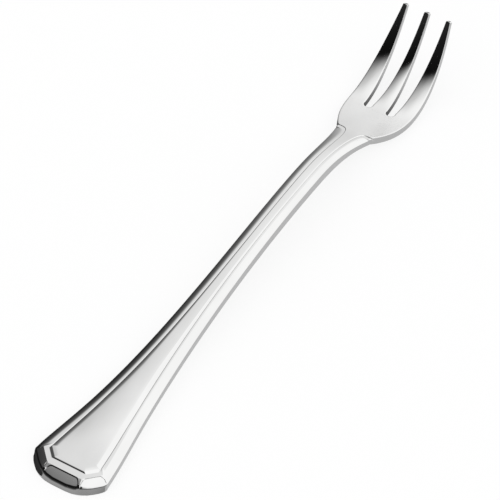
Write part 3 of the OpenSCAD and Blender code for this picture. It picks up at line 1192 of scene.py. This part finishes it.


# Cards on the table: painted shadow of the floor round the fork, grey along its left, black at its left
# corner and grey in front of it, which only the steel's reflections see
def table_shadow_cards():
    flat = (-END_FLAT_W / 2 * MM + TABLE_UNDER / 2, -ORIGIN_AT * MM + TABLE_UNDER)
    far = CARD_RADIUS

    def beside(s):
        return (-half_width(s) * MM + TABLE_UNDER, (s - ORIGIN_AT) * MM)

    side = [beside(s) for s in spread(TIP, CORNER_LEN, SIDE_POINTS)]
    cut = beside(END_CUT)
    left = [(-far, far), (side[0][0], far)] + side + [(-far, side[-1][1])]
    corner = [(-far, side[-1][1]), side[-1], cut, flat, (-far, -far)]
    front = [(-far, -far), flat, (-flat[0], flat[1]), (-cut[0], cut[1]), (far, cut[1]), (far, -far)]
    for name, plan, grey in (
        ("left_shadow_card", left, SIDE_SHADOW_GREY),
        ("corner_shadow_card", corner, CORNER_SHADOW_BLACK),
        ("front_shadow_card", front, FRONT_SHADOW_GREY),
    ):
        add_table_card(name, plan, shadow_cloth(grey))


# A card under the slots with painted shadow, grey at their roots and fading to white under the tips,
# which only the steel's reflections see
def under_shadow_card():
    half = UNDER_W / 2 * MM
    start = (SHOULDER + EASE_LEN - ORIGIN_AT) * MM
    end = (TIP - ORIGIN_AT) * MM
    plan = [(-half, start), (half, start), (half, end), (-half, end)]
    material = shadow_cloth(1)
    grey = ranged_along(material, UNDER_FADE, UNDER_SHADOW_GREY, UNDER_WHITE)
    glow = material.node_tree.nodes["Emission"]
    material.node_tree.links.new(grey, glow.inputs["Strength"])
    add_table_card("under_shadow_card", plan, material)


def add_table_card(name, plan, material):
    points = [(x, y, TABLE_LIFT) for x, y in plan]
    add_card(name, points, [range(len(points))], material)


# Plain glowing cloth of one grey, for the cards of painted shadow
def shadow_cloth(grey):
    material = bpy.data.materials.new("shadow_cloth")
    material.use_nodes = True
    nodes = material.node_tree.nodes
    glow = nodes.new("ShaderNodeEmission")
    glow.inputs["Color"].default_value = (grey, grey, grey, 1)
    material.node_tree.links.new(glow.outputs[0], nodes["Material Output"].inputs["Surface"])
    return material


# A card that only mirrored rays reach
def add_card(name, points, faces, material):
    mesh = bpy.data.meshes.new(name)
    mesh.from_pydata(points, [], faces)
    mesh.polygons.foreach_set("use_smooth", [True] * len(mesh.polygons))
    mesh.materials.append(material)
    card = bpy.data.objects.new(name, mesh)
    bpy.context.scene.collection.objects.link(card)
    card.visible_camera = False
    card.visible_diffuse = False
    card.visible_shadow = False
    card.visible_transmission = False
    card.visible_volume_scatter = False


# A smooth ramp of greys through stops
def grey_ramp(nodes, stops):
    ramp = nodes.new("ShaderNodeValToRGB")
    ramp.color_ramp.interpolation = "B_SPLINE"
    points = ramp.color_ramp.elements
    points.remove(points[1])
    points[0].position = stops[0][0]
    for position, _ in stops[1:]:
        points.new(position)
    for point, (_, grey) in zip(points, stops):
        point.color = (grey, grey, grey, 1)
    return ramp


# A grey for each direction, from stops along an axis
def grey_along(material, where, axis, stops):
    nodes = material.node_tree.nodes
    links = material.node_tree.links
    dot = nodes.new("ShaderNodeVectorMath")
    dot.operation = "DOT_PRODUCT"
    dot.inputs[1].default_value = axis / CARD_RADIUS
    lift = nodes.new("ShaderNodeMath")
    lift.operation = "ADD"
    lift.inputs[1].default_value = RAMP_LIFT
    ramp = grey_ramp(nodes, [(position + RAMP_LIFT, grey) for position, grey in stops])
    links.new(where, dot.inputs[0])
    links.new(dot.outputs["Value"], lift.inputs[0])
    links.new(lift.outputs[0], ramp.inputs["Fac"])
    return ramp.outputs["Color"]


# The light that a card lets past at its soft edge
def light_past(material, where, axis, edge):
    return grey_along(material, where, axis, [(position, 1 - covered) for position, covered in edge])


# Cloth of the dome: dark where a card is, and clear elsewhere
def card_cloth():
    material = bpy.data.materials.new("card_cloth")
    material.use_nodes = True
    nodes = material.node_tree.nodes
    links = material.node_tree.links
    nodes.clear()
    where = nodes.new("ShaderNodeTexCoord").outputs["Object"]
    light = light_past(material, where, LEFT_FACES, LEFT_EDGE)
    front = light_past(material, where, FRONT_FACES, FRONT_EDGE)
    reach = grey_along(material, where, FRONT_FADES, FRONT_FADE)
    low = light_past(material, where, LOW_FACES, LOW_EDGE)
    for more in (blend(material, "FLOAT", reach, 1.0, front), low):
        both = nodes.new("ShaderNodeMath")
        both.operation = "MULTIPLY"
        links.new(light, both.inputs[0])
        links.new(more, both.inputs[1])
        light = both.outputs[0]
    tone = grey_along(material, where, GREY_FACES, [(GREY_UP_TO, CARD_GREY), (BLACK_FROM, CARD_BLACK)])
    clear = nodes.new("ShaderNodeBsdfTransparent")
    dark = nodes.new("ShaderNodeEmission")
    mix = nodes.new("ShaderNodeMixShader")
    out = nodes.new("ShaderNodeOutputMaterial")
    links.new(tone, dark.inputs["Color"])
    links.new(light, mix.inputs["Fac"])
    links.new(dark.outputs[0], mix.inputs[1])
    links.new(clear.outputs[0], mix.inputs[2])
    links.new(mix.outputs[0], out.inputs["Surface"])
    return material


# Camera at the photograph's angle
CAMERA_AZIMUTH = math.radians(32.17)
CAMERA_ELEVATION = math.radians(46.58)
CAMERA_DISTANCE = 0.6842
CAMERA_AIM = Vector((-1.485, 0.931, 1.574)) * MM
CAMERA_LENS = 226.1
CAMERA_NEAR = 0.01


def camera():
    flat = math.cos(CAMERA_ELEVATION)
    back = Vector((
        math.sin(CAMERA_AZIMUTH) * flat,
        -math.cos(CAMERA_AZIMUTH) * flat,
        math.sin(CAMERA_ELEVATION),
    ))
    data = bpy.data.cameras.new("camera")
    data.lens = CAMERA_LENS
    data.clip_start = CAMERA_NEAR
    thing = bpy.data.objects.new("camera", data)
    thing.location = CAMERA_AIM + back * CAMERA_DISTANCE
    thing.rotation_euler = (-back).to_track_quat("-Z", "Y").to_euler()
    bpy.context.scene.collection.objects.link(thing)
    bpy.context.scene.camera = thing


camera()
fork(steel())
studio()
floor()
lamp()
cards()
table_shadow_cards()
under_shadow_card()
